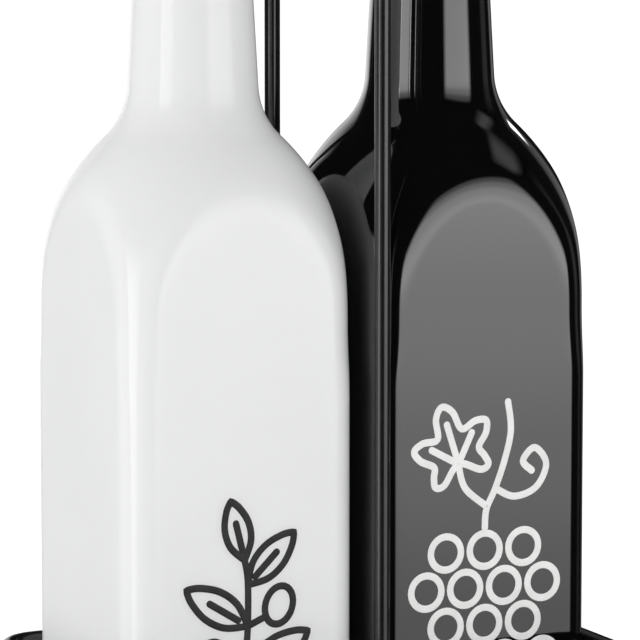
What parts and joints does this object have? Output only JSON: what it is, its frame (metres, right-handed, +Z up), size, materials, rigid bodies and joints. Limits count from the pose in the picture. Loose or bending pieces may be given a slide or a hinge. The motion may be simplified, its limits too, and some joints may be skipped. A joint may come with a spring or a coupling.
{
  "type": "cruet set",
  "caption": "Tall square oil and vinegar bottles with hinged-flap steel pourers, standing in a black wire caddy with a loop carrying handle.",
  "frame": {"origin": "on the table under the middle of the caddy", "axes": "+Z up, X along the caddy through both bottles (oil at -X, vinegar at +X), -Y is the front"},
  "size_m": [0.138, 0.094, 0.3349],
  "materials": {
    "black_wire": "gloss black powder coat on steel wire",
    "white_glass": "glass with an opaque gloss white coat",
    "black_glass": "glass with an opaque gloss black coat",
    "steel": "polished stainless steel",
    "rubber": "matte black rubber"
  },
  "bodies": {
    "caddy": {"upper_ring": "black_wire", "lower_ring": "black_wire", "handle": "black_wire", "divider_wire": "black_wire", "floor_wire_1": "black_wire", "floor_wire_2": "black_wire", "floor_wire_3": "black_wire", "floor_wire_4": "black_wire", "floor_wire_5": "black_wire", "floor_wire_6": "black_wire", "floor_wire_7": "black_wire", "post_front_left": "black_wire", "post_front_right": "black_wire", "post_back_left": "black_wire", "post_back_right": "black_wire", "post_left": "black_wire", "post_right": "black_wire", "foot_front_left": "rubber", "foot_front_right": "rubber", "foot_back_left": "rubber", "foot_back_right": "rubber"},
    "oil_bottle_body": {"oil_bottle": "white_glass"},
    "oil_pourer": {"oil_stopper": "rubber", "oil_collar": "steel", "oil_spout": "steel", "oil_air_tube": "steel", "oil_flap_bracket": "steel", "oil_flap_pin": "steel"},
    "oil_flap_body": {"oil_flap": "steel"},
    "vinegar_bottle_body": {"vinegar_bottle": "black_glass"},
    "vinegar_pourer": {"vinegar_stopper": "rubber", "vinegar_collar": "steel", "vinegar_spout": "steel", "vinegar_air_tube": "steel", "vinegar_flap_bracket": "steel", "vinegar_flap_pin": "steel"},
    "vinegar_flap_body": {"vinegar_flap": "steel"}
  },
  "joints": [
    {"name": "oil_bottle_lift", "type": "slide", "parent": "caddy", "child": "oil_bottle_body", "axis": [0, 0, 1], "range_m": [0, 0.13]},
    {"name": "vinegar_bottle_lift", "type": "slide", "parent": "caddy", "child": "vinegar_bottle_body", "axis": [0, 0, 1], "range_m": [0, 0.13]},
    {"name": "oil_pourer_pull", "type": "slide", "parent": "oil_bottle_body", "child": "oil_pourer", "axis": [0, 0, 1], "range_m": [0, 0.11]},
    {"name": "vinegar_pourer_pull", "type": "slide", "parent": "vinegar_bottle_body", "child": "vinegar_pourer", "axis": [0, 0, 1], "range_m": [0, 0.11]},
    {"name": "oil_flap_hinge", "type": "hinge", "parent": "oil_pourer", "child": "oil_flap_body", "pos_m": [-0.04828, 0, 0.31004], "axis": [0, 1, 0], "range_deg": [0, 60]},
    {"name": "vinegar_flap_hinge", "type": "hinge", "parent": "vinegar_pourer", "child": "vinegar_flap_body", "pos_m": [0.04828, 0, 0.31004], "axis": [0, -1, 0], "range_deg": [0, 60]}
  ]
}
